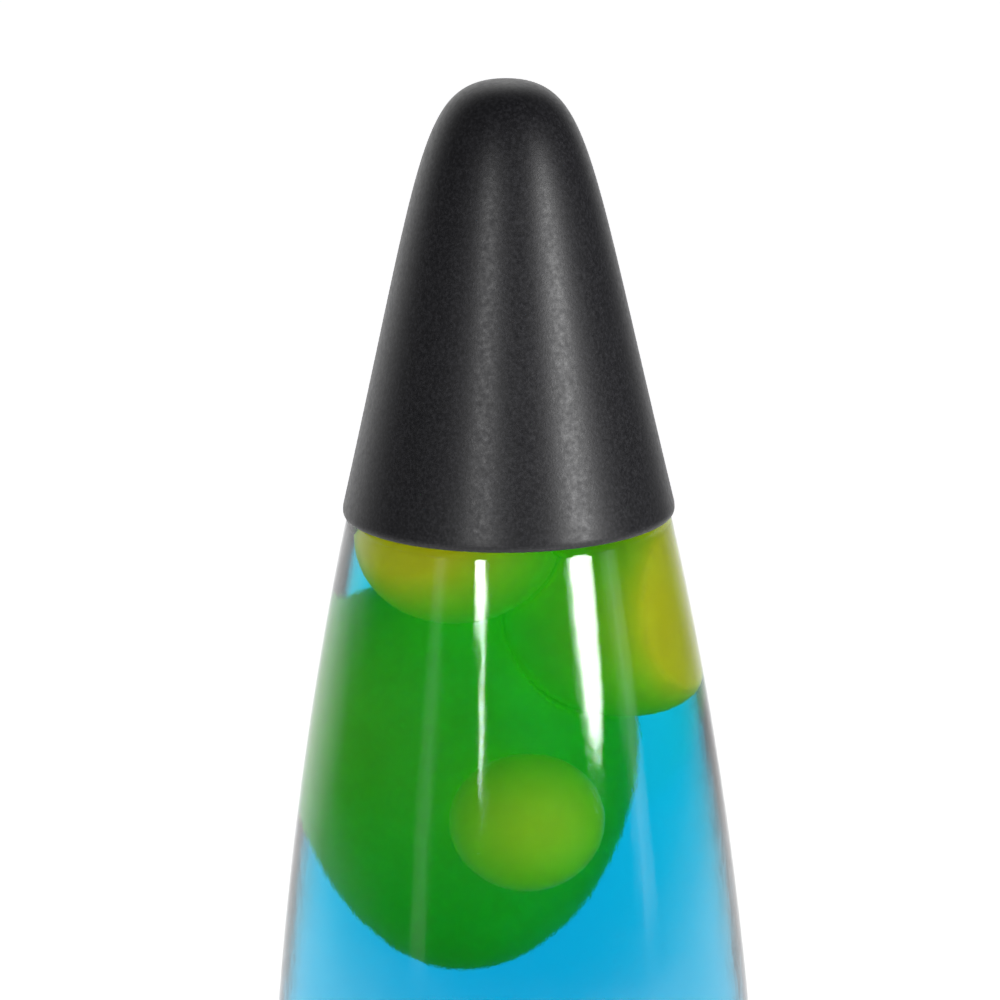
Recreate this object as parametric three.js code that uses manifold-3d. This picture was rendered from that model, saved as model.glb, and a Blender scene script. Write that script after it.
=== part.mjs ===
// A lava lamp 397 mm tall, in millimetres: +Z up, origin on the table under the middle of the base.
// A glass bottle of blue liquid and wax stands in a waisted metal base over a reflector bulb.
// A metal nose cap covers its neck.
import * as THREE from "three";
import { mergeVertices } from "three/addons/utils/BufferGeometryUtils.js";
import Module from "manifold-3d";

const wasm = await Module();
wasm.setup();

// ---------- Driving dimensions ----------
const GAP = 0.3; // between pieces that touch
const SIDES = 28; // of the large turned pieces
const SMALL_SIDES = 16; // of the small turned pieces

const CAP_TOP = 397.4;
const CAP_RIM_Z = 307;
const CAP_RIM_R = 34.5;
const CAP_TAPER = 0.2315; // radius lost for each mm of height, at the rim
const CAP_NOSE_R = 17.6; // handle of the nose's curve
const CAP_SHOULDER = 77.5; // height over which the nose blends into the taper
const CAP_WALL = 0.7;
const CAP_LIP = 1.5; // height of the rounded lip

const BOTTLE_BOTTOM = 98;
const BOTTLE_MAX_R = 52.6;
const BOTTLE_MAX_Z = 135;
const BOTTLE_CAP_R = 33.3; // where the cap's rim rests
const BOTTLE_TAPER = 0.2193;
const BOTTLE_WALL = 3.2;
const NECK_R = 13.3;
const NECK_Z = 352;
const BOTTLE_TOP = 369;
const LIQUID_LEVEL = 331;

const FOOT_HEIGHT = 4.2; // of the rubber feet
const PLATE_Z = FOOT_HEIGHT + GAP;
const SHEET = 1.2; // thickness of the sheet metal
const BASE_Z = PLATE_Z + SHEET + GAP; // underside of the base shell's flange
const BASE_FOOT_R = 50;
const BASE_WAIST_R = 30.5;
const BASE_WAIST_Z = 59;
const BASE_RIM_R = 53.6;
const BASE_RIM_Z = 118;
const FLANGE_R = 39;

const GROMMET_Z = 14.7;
const GROMMET_HOLE_R = 4.6;
const BULB_TIP_Z = 27.3;
const BULB_R = 19.5;
const THREAD_PITCH = 2.82; // of a small Edison screw

const COIL_RING_R = 33.6;
const COIL_R = 2.9;
const COIL_WIRE_R = 0.5;
const COIL_TURNS = 18;
const MOUND_R = 29;
const MOUND_TOP = 124;

// ---------- Shape helpers ----------
const v2 = (r, z) => new THREE.Vector2(r, z);

function bezier(a, b, c, d, steps) {
  return new THREE.CubicBezierCurve(v2(...a), v2(...b), v2(...c), v2(...d)).getPoints(steps);
}

function arc(centre, radius, fromDegrees, toDegrees, steps) {
  return Array.from({ length: steps + 1 }, (_, i) => {
    const angle = THREE.MathUtils.degToRad(fromDegrees + ((toDegrees - fromDegrees) * i) / steps);
    return v2(centre[0] + radius * Math.cos(angle), centre[1] + radius * Math.sin(angle));
  });
}

// A chain of curves as one list of points, without the doubled ones where curves meet.
function chain(...curves) {
  const points = curves.flat();
  return points.filter((p, i) => i === 0 || p.distanceTo(points[i - 1]) > 1e-6);
}

// Moves each point of a curve to its left by a distance. Points on the axis stay on it.
function offset(points, distance) {
  return points.map((p, i) => {
    const before = points[Math.max(i - 1, 0)];
    const after = points[Math.min(i + 1, points.length - 1)];
    const along = after.clone().sub(before).normalize();
    if (p.x < 1e-6) return v2(0, p.y + Math.sign(along.x) * distance);
    return v2(p.x - along.y * distance, p.y + along.x * distance);
  });
}

// The radius of a rising curve at one height.
function radiusAt(points, z) {
  const i = points.findIndex((p, n) => n > 0 && p.y >= z && points[n - 1].y <= z);
  const [low, high] = [points[i - 1], points[i]];
  const share = (z - low.y) / Math.max(high.y - low.y, 1e-9);
  return low.x + (high.x - low.x) * share;
}

// The part of a rising curve between two heights.
function between(points, low, high) {
  const inside = points.filter((p) => p.y > low + 0.2 && p.y < high - 0.2);
  return [v2(radiusAt(points, low), low), ...inside, v2(radiusAt(points, high), high)];
}

// A profile of [radius, height] points turned about Z. It starts and ends on the axis, or closes on itself.
function turned(points, sides = SIDES) {
  return new THREE.LatheGeometry(points, sides).rotateX(Math.PI / 2);
}

function ring(points, sides = SIDES) {
  return turned([...points, points[0]], sides);
}

function tubeAlong(points, radius, sides, stepsPerSpan, closed = false) {
  const path = new THREE.CatmullRomCurve3(points, closed);
  const section = discShape(radius, sides);
  const steps = (closed ? points.length : points.length - 1) * stepsPerSpan;
  return new THREE.ExtrudeGeometry(section, { steps, extrudePath: path, bevelEnabled: false });
}

function extruded(shape, bottom, height) {
  return new THREE.ExtrudeGeometry(shape, { depth: height, bevelEnabled: false }).translate(0, 0, bottom);
}

// Corners of a regular polygon. A negative turn goes clockwise, as a hole does.
function polygon(x, y, radius, sides, turn = 1) {
  return Array.from({ length: sides }, (_, i) => {
    const angle = (2 * Math.PI * i * turn) / sides;
    return v2(x + radius * Math.cos(angle), y + radius * Math.sin(angle));
  });
}

function discShape(radius, sides) {
  return new THREE.Shape(polygon(0, 0, radius, sides));
}

function holeIn(shape, x, y, radius, sides) {
  shape.holes.push(new THREE.Path(polygon(x, y, radius, sides, -1)));
}

// ---------- Solids: cutting and joining ----------
function solid(geometry) {
  const bare = geometry.clone();
  bare.deleteAttribute("normal");
  bare.deleteAttribute("uv");
  const merged = mergeVertices(bare, 1e-4);
  return new wasm.Manifold(
    new wasm.Mesh({
      numProp: 3,
      vertProperties: merged.attributes.position.array,
      triVerts: new Uint32Array(merged.index.array),
    }),
  );
}

function geometryOf(made) {
  const mesh = made.getMesh();
  const positions = new Float32Array(mesh.numVert * 3);
  for (let i = 0; i < mesh.numVert; i++) {
    positions.set(mesh.vertProperties.subarray(i * mesh.numProp, i * mesh.numProp + 3), i * 3);
  }
  return new THREE.BufferGeometry()
    .setAttribute("position", new THREE.BufferAttribute(positions, 3))
    .setIndex(new THREE.BufferAttribute(mesh.triVerts, 1));
}

const cut = (geometry, ...tools) =>
  geometryOf(tools.reduce((left, tool) => left.subtract(solid(tool)), solid(geometry)));

// ---------- Materials ----------
const material = (color, roughness, metalness, opacity = 1) =>
  new THREE.MeshStandardMaterial({ color, roughness, metalness, opacity, transparent: opacity < 1 });

const MATERIALS = {
  blackMetal: material(0x1c1c1e, 0.42, 0.3),
  glass: material(0xf4fbff, 0.03, 0, 0.25),
  liquid: material(0x00a6d6, 0.05, 0, 0.55),
  wax: material(0xd8d016, 0.5, 0),
  steel: material(0xb9bcc0, 0.35, 0.9),
  tin: material(0xc8cacd, 0.3, 0.9),
  brass: material(0xc39a4a, 0.3, 0.9),
  aluminium: material(0xc9ccd1, 0.35, 0.9),
  rubber: material(0x161616, 0.85, 0),
  silicone: material(0xd9d5cb, 0.6, 0),
  phenolic: material(0x23201e, 0.5, 0),
  ceramic: material(0xe9e4d8, 0.4, 0),
  bulbGlass: material(0xf2f4f2, 0.15, 0, 0.45),
  liner: material(0xdfe3e2, 0.5, 0),
};

const lamp = new THREE.Group();

function add(name, geometry, look, place) {
  const mesh = new THREE.Mesh(geometry, MATERIALS[look]);
  mesh.name = name;
  if (place) mesh.position.set(...place);
  lamp.add(mesh);
  return mesh;
}

// ---------- Nose cap ----------
function makeCap() {
  const nose = bezier(
    [0, CAP_TOP],
    [CAP_NOSE_R, CAP_TOP],
    [CAP_RIM_R - CAP_TAPER * CAP_SHOULDER, CAP_RIM_Z + CAP_SHOULDER],
    [CAP_RIM_R, CAP_RIM_Z],
    10,
  );
  const rising = [...nose].reverse();
  const lipTop = CAP_RIM_Z + CAP_LIP;
  const outside = between(rising, lipTop, CAP_TOP);
  const inside = between(offset(rising, CAP_WALL), lipTop, CAP_TOP - CAP_WALL - 0.05);
  const lipR = radiusAt(inside, lipTop) - 0.02;
  const lip = [v2(lipR, CAP_RIM_Z), v2(lipR + 0.35, CAP_RIM_Z + 0.1), v2(lipR + 0.62, CAP_RIM_Z + 0.6)];
  outside[outside.length - 1].x = 0;
  inside[inside.length - 1].x = 0;
  add("cap_shell", turned(chain([...inside].reverse(), lip, outside)), "blackMetal");
}

// ---------- Bottle ----------
const punt = bezier([0, 101.5], [14, 101.5], [22, BOTTLE_BOTTOM], [33, BOTTLE_BOTTOM], 3);
const heel = bezier(
  [36, BOTTLE_BOTTOM],
  [45, BOTTLE_BOTTOM],
  [BOTTLE_MAX_R, 116],
  [BOTTLE_MAX_R, BOTTLE_MAX_Z],
  5,
);
const flank = bezier(
  [BOTTLE_MAX_R, BOTTLE_MAX_Z],
  [BOTTLE_MAX_R, BOTTLE_MAX_Z + 49.5],
  [BOTTLE_CAP_R + BOTTLE_TAPER * 58.3, CAP_RIM_Z - 58.3],
  [BOTTLE_CAP_R, CAP_RIM_Z],
  6,
);
const shoulder = bezier(
  [BOTTLE_CAP_R, CAP_RIM_Z],
  [BOTTLE_CAP_R - BOTTLE_TAPER * 17, CAP_RIM_Z + 17],
  [NECK_R, NECK_Z - 18],
  [NECK_R, NECK_Z],
  4,
);
const bottleOutside = chain(punt, heel, flank, shoulder);
const bottleInside = offset(bottleOutside, BOTTLE_WALL);
const liquidOutside = offset(bottleOutside, BOTTLE_WALL + GAP);

function makeBottle() {
  const finish = [
    v2(NECK_R, BOTTLE_TOP - 6),
    v2(NECK_R + 0.6, BOTTLE_TOP - 5),
    v2(NECK_R + 0.6, BOTTLE_TOP - 2),
    v2(NECK_R - 0.6, BOTTLE_TOP),
    v2(NECK_R - BOTTLE_WALL, BOTTLE_TOP),
  ];
  add("bottle_glass", turned(chain(bottleOutside, finish, [...bottleInside].reverse())), "glass");
}

function makeClosure() {
  const linerZ = BOTTLE_TOP + GAP;
  const liner = [v2(0, linerZ), v2(12.8, linerZ), v2(12.8, linerZ + 0.8), v2(0, linerZ + 0.8)];
  add("crown_liner", turned(liner, SMALL_SIDES), "liner");
  const roof = linerZ + 0.8 + GAP;
  const crown = [
    v2(0, roof),
    v2(13.2, roof),
    v2(14.4, roof - 1.4),
    v2(15.6, roof - 6),
    v2(16.1, roof - 6),
    v2(15, roof - 1),
    v2(13.6, roof + 0.5),
    v2(0, roof + 0.5),
  ];
  add("crown_closure", turned(crown, SMALL_SIDES), "tin");
}

// ---------- Wax and liquid ----------
// Each blob: centre, half sizes, how much it narrows towards its top, and the blobs that press into it.
const BLOBS = {
  wax_large: {
    at: [-7.4, 8, 249.5],
    half: [25.8, 25.3, 41.8],
    taper: -0.08,
    pressedBy: ["wax_left", "wax_right", "wax_small"],
  },
  wax_small: { at: [2.6, -23.6, 247.6], half: [14.3, 12.6, 14.3], taper: 0, pressedBy: [] },
  wax_left: { at: [-10.3, -9, 305.5], half: [19.2, 19, 19.4], taper: 0, pressedBy: [] },
  wax_right: { at: [20.5, -2, 285.6], half: [21.5, 20, 21.6], taper: 0.06, pressedBy: ["wax_left"] },
};

function blobGeometry({ at, half, taper }, grow = 0) {
  const geometry = new THREE.SphereGeometry(1, 16, 9).rotateX(Math.PI / 2);
  const position = geometry.attributes.position;
  for (let i = 0; i < position.count; i++) {
    const [x, y, z] = [position.getX(i), position.getY(i), position.getZ(i)];
    const width = 1 - taper * z;
    position.setXYZ(i, x * (half[0] + grow) * width, y * (half[1] + grow) * width, z * (half[2] + grow));
  }
  return geometry.translate(...at);
}

// The inside of the bottle, as a solid that the blobs and the liquid are cut to.
function fillProfile(inset) {
  const wall = between(offset(bottleOutside, BOTTLE_WALL + inset).slice(punt.length), 106, LIQUID_LEVEL);
  return [v2(0, 106), ...wall, v2(0, LIQUID_LEVEL)];
}

const moundSide = bezier([MOUND_R, 102], [27, 113], [15, MOUND_TOP], [0, MOUND_TOP], 5);

function makeWax() {
  const room = solid(turned(fillProfile(2 * GAP)));
  for (const [name, blob] of Object.entries(BLOBS)) {
    const pressing = blob.pressedBy.map((other) => solid(blobGeometry(BLOBS[other], GAP)));
    const lump = solid(blobGeometry(blob)).intersect(room);
    add(name, geometryOf(pressing.reduce((left, other) => left.subtract(other), lump)), "wax");
  }
  const floor = offset(bottleOutside, BOTTLE_WALL + GAP).filter((p, i) => i < punt.length && p.x < MOUND_R);
  add("wax_mound", turned(chain(floor, [v2(MOUND_R, floor.at(-1).y)], moundSide)), "wax");
}

function makeLiquid() {
  const channelR = COIL_R + COIL_WIRE_R + 0.35;
  const coilZ = BOTTLE_BOTTOM + BOTTLE_WALL + GAP + COIL_R + COIL_WIRE_R;
  const overMound = offset([...moundSide].reverse(), GAP);
  overMound[0].x = 0;
  const overCoil = arc([COIL_RING_R, coilZ], channelR, 180, 0, 4);
  const wall = between(liquidOutside.slice(punt.length), coilZ + 0.4, LIQUID_LEVEL);
  const inner = overMound.filter((p) => p.y > coilZ + 1 && p.x < COIL_RING_R - channelR - 0.2);
  const profile = chain(inner, overCoil, wall, [v2(0, LIQUID_LEVEL)]);
  const dents = Object.values(BLOBS).map((blob) => blobGeometry(blob, GAP));
  add("blue_liquid", cut(turned(profile), ...dents), "liquid");
}

function makeCoil() {
  const stepsPerTurn = 6;
  const z = BOTTLE_BOTTOM + BOTTLE_WALL + GAP + COIL_R + COIL_WIRE_R;
  const points = Array.from({ length: COIL_TURNS * stepsPerTurn }, (_, i) => {
    const around = (2 * Math.PI * i) / (COIL_TURNS * stepsPerTurn);
    const twist = (2 * Math.PI * i) / stepsPerTurn;
    const r = COIL_RING_R + COIL_R * Math.cos(twist);
    return new THREE.Vector3(r * Math.cos(around), r * Math.sin(around), z + COIL_R * Math.sin(twist));
  });
  // The ring of coils is left open by one turn, where the real wire's two ends hook together.
  add("wire_coil", tubeAlong(points.slice(0, -stepsPerTurn), COIL_WIRE_R, 4, 1), "steel");
}

// ---------- Base ----------
const skirt = [v2(BASE_FOOT_R - 1.4, BASE_Z), v2(BASE_FOOT_R, BASE_Z + 1.4), v2(BASE_FOOT_R - 0.8, 19)];
const waist = [BASE_WAIST_R, BASE_WAIST_Z];
const footCurve = bezier([BASE_FOOT_R - 0.8, 19], [47, 31], [BASE_WAIST_R, 41], waist, 6);
const cupCurve = bezier(waist, [BASE_WAIST_R, 74], [46, 97], [BASE_RIM_R, BASE_RIM_Z], 6);
const baseOutside = chain(skirt, footCurve, cupCurve);
const baseInside = offset(baseOutside, SHEET);

function makeBaseShell() {
  const inside = baseInside.slice(1);
  const profile = chain(
    [v2(FLANGE_R, BASE_Z)],
    baseOutside,
    [v2(BASE_RIM_R - 0.5, BASE_RIM_Z + 0.5)],
    [...inside].reverse(),
    [v2(BASE_FOOT_R - 2.6, BASE_Z + SHEET), v2(FLANGE_R, BASE_Z + SHEET)],
  );
  const outlet = new THREE.CylinderGeometry(GROMMET_HOLE_R, GROMMET_HOLE_R, 20, SMALL_SIDES);
  outlet.translate(0, BASE_FOOT_R, GROMMET_Z);
  const screwHoles = screwPlaces.map(([x, y]) =>
    new THREE.CylinderGeometry(2, 2, 6, 8).rotateX(Math.PI / 2).translate(x, y, BASE_Z),
  );
  add("base_shell", cut(ring(profile), outlet, ...screwHoles), "blackMetal");
}

function makeSeatRing() {
  const [low, high] = [BOTTLE_BOTTOM + 1.2, BOTTLE_BOTTOM + 6.2];
  const outside = between(baseInside, low, high).map((p) => v2(p.x - GAP - 0.1, p.y));
  const inside = between(heel, low, high).map((p) => v2(p.x + GAP + 0.1, p.y));
  add("bottle_seat_ring", ring(chain(outside, [...inside].reverse())), "silicone");
}

function makeGrommet() {
  const bore = 3.2;
  const wallOut = BASE_FOOT_R + 0.3;
  const wallIn = BASE_FOOT_R - 2.9;
  const profile = [
    v2(bore, wallIn - 1.8),
    v2(6, wallIn - 1.8),
    v2(6, wallIn),
    v2(GROMMET_HOLE_R - GAP, wallIn),
    v2(GROMMET_HOLE_R - GAP, wallOut),
    v2(6.6, wallOut),
    v2(5.6, wallOut + 2),
    v2(bore, wallOut + 2),
  ];
  const geometry = ring(profile, SMALL_SIDES).rotateX(-Math.PI / 2);
  add("cord_grommet", geometry, "rubber", [0, 0, GROMMET_Z]);
}

// ---------- Bottom plate, feet and their fasteners ----------
const FOOT_PLACES = [45, 135, 225, 315].map((degrees) => polar(40.5, degrees));
const screwPlaces = [30, 150, 270].map((degrees) => polar(43, degrees));
const BRACKET_SCREW_X = 22;

function polar(radius, degrees) {
  const angle = THREE.MathUtils.degToRad(degrees);
  return [radius * Math.cos(angle), radius * Math.sin(angle)];
}

// A slot that runs along a radius, with round ends.
function ventPath(degrees, from, to, halfWidth) {
  const angle = THREE.MathUtils.degToRad(degrees);
  const centreLine = (r) => v2(r * Math.cos(angle), r * Math.sin(angle));
  const path = new THREE.Path();
  const [start, end] = [centreLine(from), centreLine(to)];
  path.absarc(end.x, end.y, halfWidth, angle + Math.PI / 2, angle - Math.PI / 2, true);
  path.absarc(start.x, start.y, halfWidth, angle - Math.PI / 2, angle - (3 * Math.PI) / 2, true);
  return new THREE.Path(path.getPoints(2));
}

function makePlate() {
  const shape = discShape(46.5, SIDES);
  for (const [x, y] of screwPlaces) holeIn(shape, x, y, 2, 8);
  for (const x of [-BRACKET_SCREW_X, BRACKET_SCREW_X]) holeIn(shape, x, 0, 2, 8);
  for (const degrees of [45, 75, 105, 135, 225, 255, 285, 315]) {
    shape.holes.push(ventPath(degrees, 17, 31, 1.7));
  }
  add("base_plate", extruded(shape, PLATE_Z, SHEET), "steel");
}

function screwGeometry(headR, headHeight, shankR, length) {
  return turned(
    [
      v2(0, -headHeight),
      v2(headR * 0.7, -headHeight),
      v2(headR, -headHeight * 0.45),
      v2(headR, 0),
      v2(shankR, 0),
      v2(shankR, length),
      v2(0, length),
    ],
    8,
  );
}

function nutGeometry(acrossFlats, height, holeR) {
  const shape = discShape(acrossFlats / Math.sqrt(3), 6);
  holeIn(shape, 0, 0, holeR, 8);
  return extruded(shape, 0, height);
}

function makeFeetAndScrews() {
  const foot = [v2(0, 0), v2(4.9, 0), v2(5.6, 1), v2(5.6, FOOT_HEIGHT), v2(0, FOOT_HEIGHT)];
  FOOT_PLACES.forEach(([x, y], i) => add(`rubber_foot_${i + 1}`, turned(foot, 12), "rubber", [x, y, 0]));
  screwPlaces.forEach(([x, y], i) => {
    add(`plate_screw_${i + 1}`, screwGeometry(2.9, 1.6, 1.5, 7.6), "steel", [x, y, PLATE_Z - GAP]);
    add(`plate_nut_${i + 1}`, nutGeometry(5.5, 2.2, 1.8), "steel", [x, y, BASE_Z + SHEET + GAP]);
  });
}

// ---------- Lamp holder on its bracket ----------
const BRACKET_TOP = 9.4;

function makeBracket() {
  const outline = [
    [-27, 6], [-16.8, 6], [-14.6, BRACKET_TOP], [14.6, BRACKET_TOP], [16.8, 6], [27, 6],
    [27, 7.2], [17.5, 7.2], [15.3, BRACKET_TOP + SHEET],
    [-15.3, BRACKET_TOP + SHEET], [-17.5, 7.2], [-27, 7.2],
  ];
  const strap = new THREE.ExtrudeGeometry(new THREE.Shape(outline.map(([x, z]) => v2(x, z))), {
    depth: 16,
    bevelEnabled: false,
  });
  strap.rotateX(Math.PI / 2).translate(0, 8, 0);
  const bore = new THREE.CylinderGeometry(5.2, 5.2, 6, 16).rotateX(Math.PI / 2).translate(0, 0, BRACKET_TOP);
  const holes = [-BRACKET_SCREW_X, BRACKET_SCREW_X].map((x) =>
    new THREE.CylinderGeometry(2, 2, 6, 8).rotateX(Math.PI / 2).translate(x, 0, 6.6),
  );
  add("holder_bracket", cut(strap, bore, ...holes), "steel");
  [-BRACKET_SCREW_X, BRACKET_SCREW_X].forEach((x, i) => {
    add(`bracket_screw_${i + 1}`, screwGeometry(2.9, 1.6, 1.5, 6.4), "steel", [x, 0, PLATE_Z - GAP]);
    add(`bracket_nut_${i + 1}`, nutGeometry(5.5, 2.2, 1.8), "steel", [x, 0, 7.5]);
  });
}

function makeHolder() {
  const nipple = [v2(3.4, 6.4), v2(4.9, 6.4), v2(4.9, 17), v2(3.4, 17)];
  add("threaded_nipple", ring(nipple, 16), "steel");
  add("nipple_nut", nutGeometry(14, 2.2, 5.6), "steel", [0, 0, 6.9]);
  const dome = [
    [5.2, 10.9], [11.5, 10.9], [13.6, 13.4], [13.6, 24.5],
    [12.2, 24.5], [12.2, 14.2], [10.9, 12.6], [5.2, 12.6],
  ];
  add("holder_dome", ring(dome.map(([r, z]) => v2(r, z)), SMALL_SIDES), "phenolic");
  const block = discShape(11.8, SMALL_SIDES);
  for (const x of [-7.4, 7.4]) holeIn(block, x, 0, 1.9, 10);
  add("contact_block", extruded(block, 17.6, 6.6), "ceramic");
  [-7.4, 7.4].forEach((x, i) => {
    add(`terminal_screw_${i + 1}`, screwGeometry(2.4, 1.5, 1.5, 5), "brass", [x, 0, 17.2]);
  });
  const skirtProfile = [[8.9, 24.8], [13.6, 24.8], [13.6, 35], [11.8, 47], [8.9, 47]];
  add("holder_sleeve", ring(skirtProfile.map(([r, z]) => v2(r, z)), SMALL_SIDES), "phenolic");
}

// Rounded screw threads seen in profile, as rings at the thread's pitch.
function threadProfile(radius, depth, from, to) {
  const steps = Math.round(((to - from) / THREAD_PITCH) * 2);
  return Array.from({ length: steps + 1 }, (_, i) => {
    const z = from + ((to - from) * i) / steps;
    return v2(radius + depth * Math.cos((2 * Math.PI * (z - from)) / THREAD_PITCH), z);
  });
}

function makeContacts() {
  const inside = threadProfile(7.65, 0.3, 25.2, 44.2);
  const outside = inside.map((p) => v2(p.x + 0.5, p.y));
  add("thread_shell", ring(chain(outside, [...inside].reverse()), 16), "brass");
  const leaf = new THREE.Shape(
    [
      [-6.2, 24.5], [1.4, 24.5], [3.4, 25.2], [3.4, 25.9], [0.6, 27], [-3, 26.4], [-3, 25.95],
      [0.4, 26.45], [2.6, 25.6], [1.2, 25], [-6.2, 25],
    ].map(([x, z]) => v2(x, z)),
  );
  const strip = new THREE.ExtrudeGeometry(leaf, { depth: 4, bevelEnabled: false });
  add("centre_contact", strip.rotateX(Math.PI / 2).translate(0, 2, 0), "brass");
}

// ---------- Bulb ----------
function makeBulb() {
  const tip = BULB_TIP_Z;
  const contact = [v2(0, tip), v2(1.7, tip + 0.2), v2(2.4, tip + 1.1), v2(0, tip + 1.1)];
  add("bulb_contact", turned(contact, 12), "tin");
  const insulator = [v2(0, tip + 1.4), v2(2.9, tip + 1.4), v2(5.6, tip + 3.7), v2(0, tip + 3.7)];
  add("bulb_insulator", turned(insulator, 16), "phenolic");

  const capOutside = chain(
    [v2(5.8, tip + 4)],
    threadProfile(6.75, 0.3, tip + 5.3, tip + 5.3 + 4 * THREAD_PITCH),
    [v2(6.9, tip + 18.5), v2(7.5, tip + 22)],
  );
  const capInside = capOutside.map((p) => v2(p.x - 0.4, p.y));
  add("bulb_screw_cap", ring(chain(capOutside, [...capInside].reverse()), 16), "aluminium");

  const glass = chain(
    [v2(5.7, tip + 13), v2(5.7, tip + 22.6)],
    bezier([5.7, tip + 22.6], [9, tip + 31], [BULB_R, tip + 37], [BULB_R, tip + 53], 5),
    bezier([BULB_R, tip + 53], [BULB_R, tip + 60], [12, tip + 65], [0, tip + 65], 4),
  );
  const glassInside = offset(glass, 0.9);
  add("bulb_envelope", turned(chain([...glassInside].reverse(), glass), SMALL_SIDES), "bulbGlass");

  const stem = [v2(0, tip + 14), v2(3.6, tip + 14), v2(2.2, tip + 22), v2(2.2, tip + 31), v2(0, tip + 32)];
  add("bulb_stem", turned(stem, 10), "bulbGlass");
  const filamentZ = tip + 44;
  [-1, 1].forEach((side, i) => {
    const lead = [
      new THREE.Vector3(side * 1.3, 0, tip + 32.4),
      new THREE.Vector3(side * 4.2, 0, tip + 38),
      new THREE.Vector3(side * 6.6, 0, filamentZ - 0.9),
    ];
    add(`bulb_lead_${i + 1}`, tubeAlong(lead, 0.35, 6, 3), "steel");
  });
  const droop = (x) => filamentZ + 0.6 - 0.012 * x * x;
  const filament = [-6.6, -3.3, 0, 3.3, 6.6].map((x) => new THREE.Vector3(x, 0, droop(x)));
  add("bulb_filament", tubeAlong(filament, 0.5, 6, 2), "steel");
}

makeCap();
makeBottle();
makeClosure();
makeWax();
makeLiquid();
makeCoil();
makeBaseShell();
makeSeatRing();
makeGrommet();
makePlate();
makeFeetAndScrews();
makeBracket();
makeHolder();
makeContacts();
makeBulb();

export default lamp;
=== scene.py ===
"""The lava lamp's looks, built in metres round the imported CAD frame: +Z up, -Y to the front."""

import math

import bpy
import numpy as np
from mathutils import Matrix, Vector, noise


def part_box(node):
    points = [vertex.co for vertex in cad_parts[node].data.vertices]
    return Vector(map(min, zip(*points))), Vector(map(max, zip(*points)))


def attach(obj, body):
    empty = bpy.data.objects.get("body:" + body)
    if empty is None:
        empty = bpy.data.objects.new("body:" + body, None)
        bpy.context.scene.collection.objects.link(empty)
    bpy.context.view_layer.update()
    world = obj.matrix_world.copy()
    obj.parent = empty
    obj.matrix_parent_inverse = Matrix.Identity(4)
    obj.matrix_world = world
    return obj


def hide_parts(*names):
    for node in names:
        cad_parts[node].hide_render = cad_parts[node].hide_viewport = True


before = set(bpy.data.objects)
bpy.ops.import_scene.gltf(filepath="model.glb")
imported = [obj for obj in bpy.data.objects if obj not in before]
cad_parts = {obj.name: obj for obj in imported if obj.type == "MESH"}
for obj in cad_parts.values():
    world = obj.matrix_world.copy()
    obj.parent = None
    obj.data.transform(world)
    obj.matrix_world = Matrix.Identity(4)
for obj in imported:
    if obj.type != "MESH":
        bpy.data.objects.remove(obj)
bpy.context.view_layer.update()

MM = 0.001
TAU = 2 * math.pi

# ---------- Sizes, in millimetres unless they come from the frame ----------
SEGMENTS = 192  # round the large turned pieces
SMALL_SEGMENTS = 64  # round the small ones
CAP_RIM_R = 34.6
CAP_TAPER = 0.2315
CAP_WALL = 0.7
BOTTLE_WALL = 3.2
WALL_OVERLAP = 0.08  # the liquid wets the glass: it reaches this far into the wall
BOTTLE_CAP_R = 33.3
BOTTLE_TAPER = 0.2193
NECK_R = 13.3
SHOULDER_DROP = 2.0  # the glass starts to round off this far under the cap's rim
LIQUID_LEVEL = 331
THREAD_PITCH = 2.82
CROWN_TEETH = 21
COIL_TURNS = 44
COIL_WIRE_R = 0.45
SHEET = 1.2
WALL_OFFSET = 0.65  # the wax stays this far from the inside of the glass

# ---------- Studio, in metres and degrees ----------
WALL_TURN = 12  # the white wall is turned this far to the left of straight behind
FLOOR_SIZE = 8
FLOOR_FADE = 2.5  # the floor's painted light fades out over shares of this distance
LIGHT_DISTANCE = 1.5


def node_mm(node):
    """Lowest and highest corners of a CAD node, in millimetres."""
    low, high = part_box(node)
    return Vector(low) / MM, Vector(high) / MM


# ---------- Profiles: lists of (radius, height) in millimetres ----------
def bezier(a, b, c, d, steps):
    points = []
    for i in range(steps + 1):
        t = i / steps
        weights = ((1 - t) ** 3, 3 * t * (1 - t) ** 2, 3 * t * t * (1 - t), t ** 3)
        points.append(tuple(sum(w * p[k] for w, p in zip(weights, (a, b, c, d))) for k in (0, 1)))
    return points


def chain(*curves):
    points = []
    for curve in curves:
        for p in curve:
            if not points or math.dist(p, points[-1]) > 1e-5:
                points.append(p)
    return points


def offset(points, distance):
    """Each point moved to the left of the curve. Points on the axis stay on it."""
    moved = []
    for i, (r, z) in enumerate(points):
        before = points[max(i - 1, 0)]
        after = points[min(i + 1, len(points) - 1)]
        along = Vector((after[0] - before[0], after[1] - before[1])).normalized()
        if r < 1e-6:
            moved.append((0.0, z + math.copysign(distance, along.x)))
        else:
            moved.append((r - along.y * distance, z + along.x * distance))
    return moved


def rounded(points, radius, steps=5, closed=True):
    """The same outline with its corners rounded."""
    result = []
    count = len(points)
    for i, p in enumerate(points):
        corner = Vector(p)
        if (not closed and i in (0, count - 1)) or p[0] < 1e-6:
            result.append(tuple(p))
            continue
        back = Vector(points[i - 1]) - corner
        ahead = Vector(points[(i + 1) % count]) - corner
        reach = min(radius, back.length * 0.45, ahead.length * 0.45)
        start = corner + back.normalized() * reach
        end = corner + ahead.normalized() * reach
        for k in range(steps + 1):
            t = k / steps
            bend = start * (1 - t) ** 2 + corner * 2 * t * (1 - t) + end * t * t
            result.append((bend.x, bend.y))
    return result


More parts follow.
